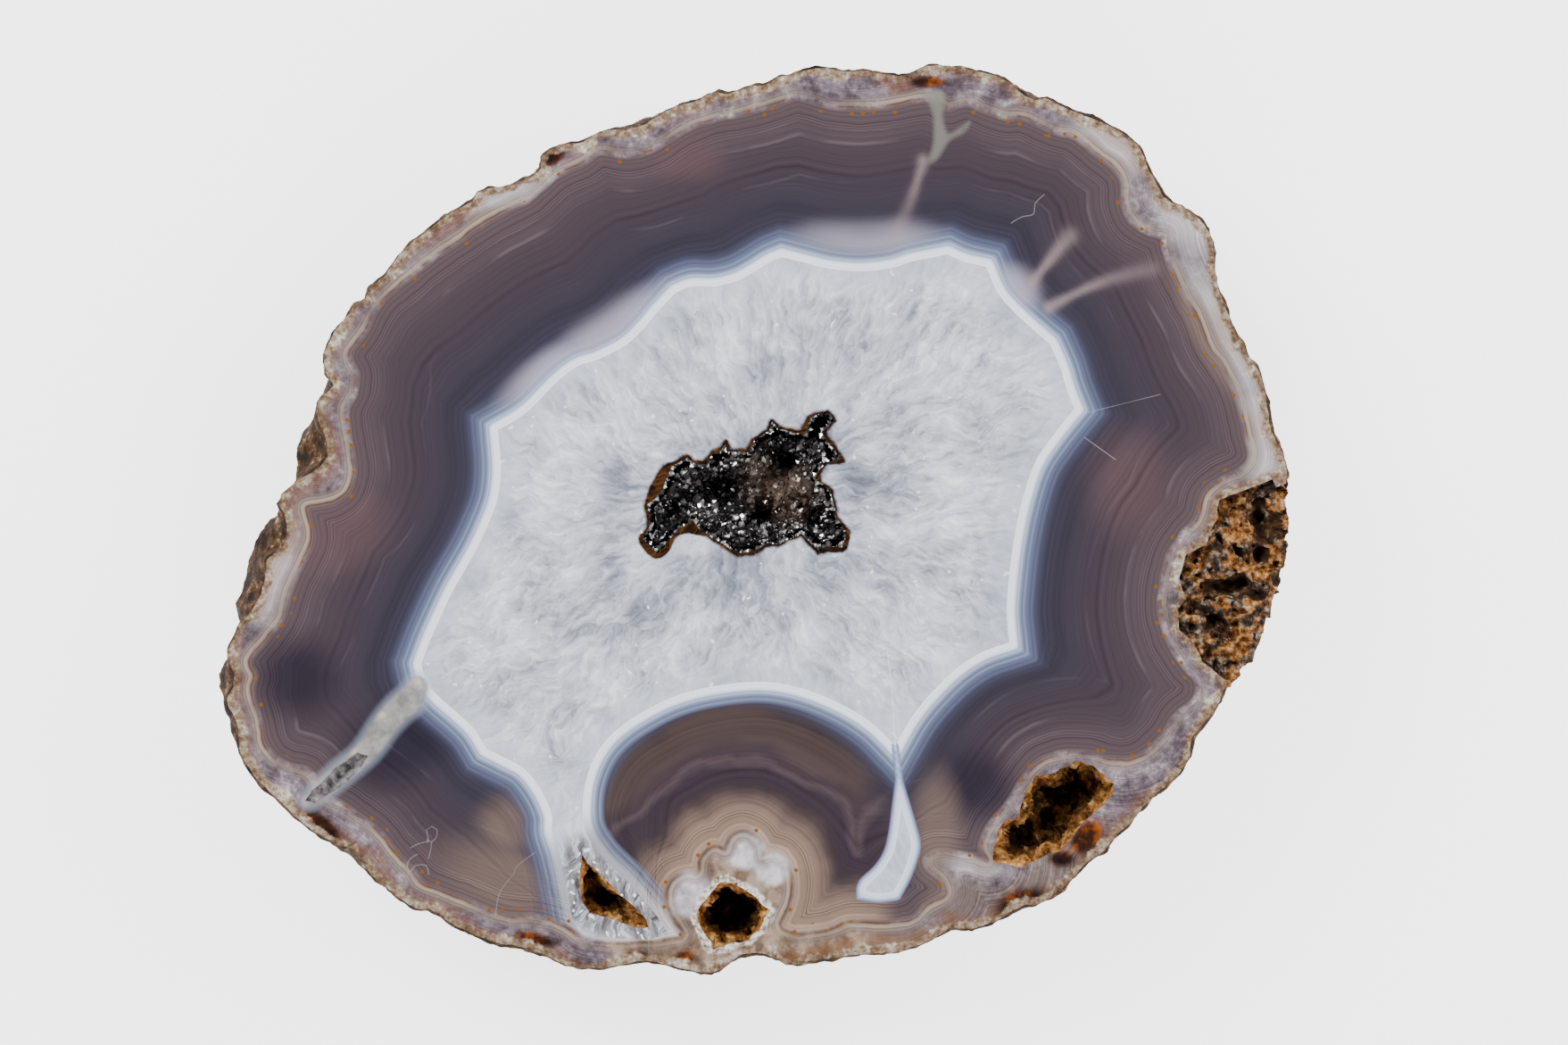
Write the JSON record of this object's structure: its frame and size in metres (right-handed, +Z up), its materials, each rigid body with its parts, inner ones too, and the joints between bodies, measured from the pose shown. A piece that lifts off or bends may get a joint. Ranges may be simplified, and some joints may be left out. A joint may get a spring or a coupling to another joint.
{
  "type": "agate geode slice",
  "caption": "Thick sawn and polished agate slab with a rough rind, banded chalcedony, a milky quartz core and an open vug lined with dark crystals, lying on its flat back",
  "frame": {"origin": "middle of the slab's box, on the sawn back that it lies on", "axes": "+Z up out of the polished face; +X along the long way of the face, to the right as it is looked at; +Y to the top of the face"},
  "size_m": [0.1494, 0.1266, 0.021],
  "materials": {
    "agate": "polished",
    "druse": "gloss"
  },
  "bodies": {
    "root": {"agate_slice": "agate", "druse_crust": "druse"}
  },
  "joints": []
}
